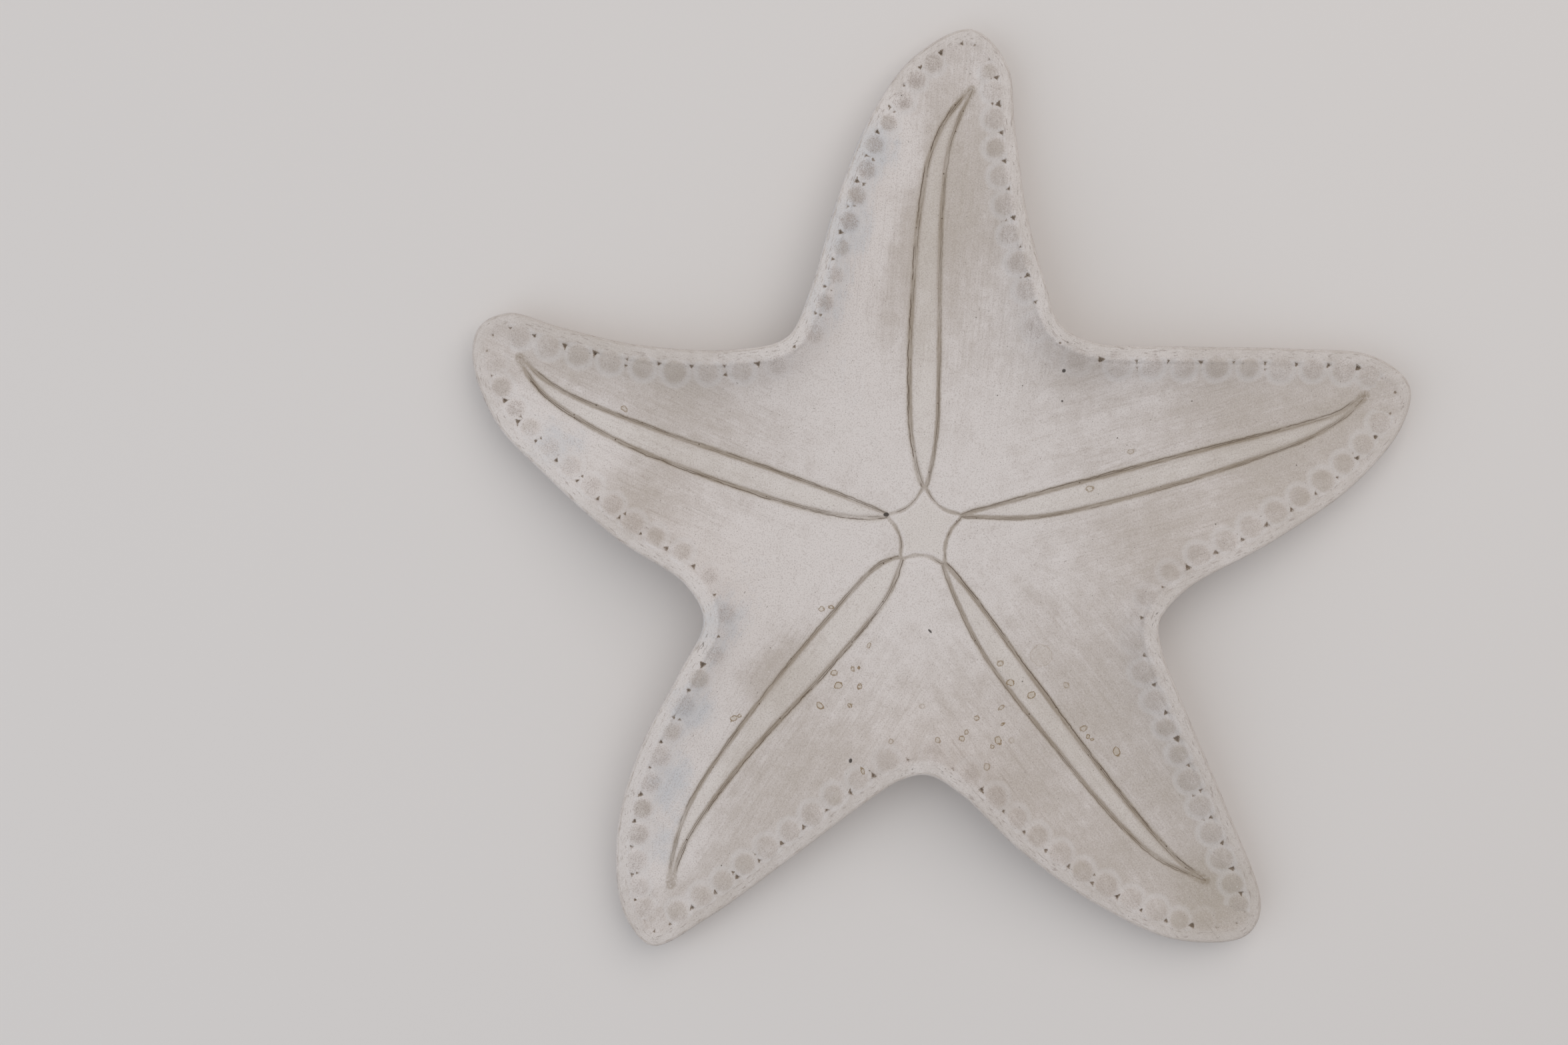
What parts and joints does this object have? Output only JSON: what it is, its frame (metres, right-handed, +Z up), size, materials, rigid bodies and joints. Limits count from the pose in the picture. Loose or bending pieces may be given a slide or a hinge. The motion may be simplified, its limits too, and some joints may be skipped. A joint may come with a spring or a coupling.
{
  "type": "starfish-shaped decorative dish",
  "caption": "Shallow whitewashed dish in the shape of a starfish, with a rounded rim, a beaded border and incised petals along its curved arms.",
  "frame": {"origin": "near the middle of the outline, on the plane the foot rests on", "axes": "+Z up out of the hollow, +Y towards the arm that points up, +X to the right as seen from above"},
  "size_m": [0.344, 0.336, 0.026],
  "materials": {
    "whitewashed_casting": "matt off-white wash over tan-grey cast stoneware"
  },
  "bodies": {
    "root": {"starfish_dish": "whitewashed_casting"}
  },
  "joints": []
}
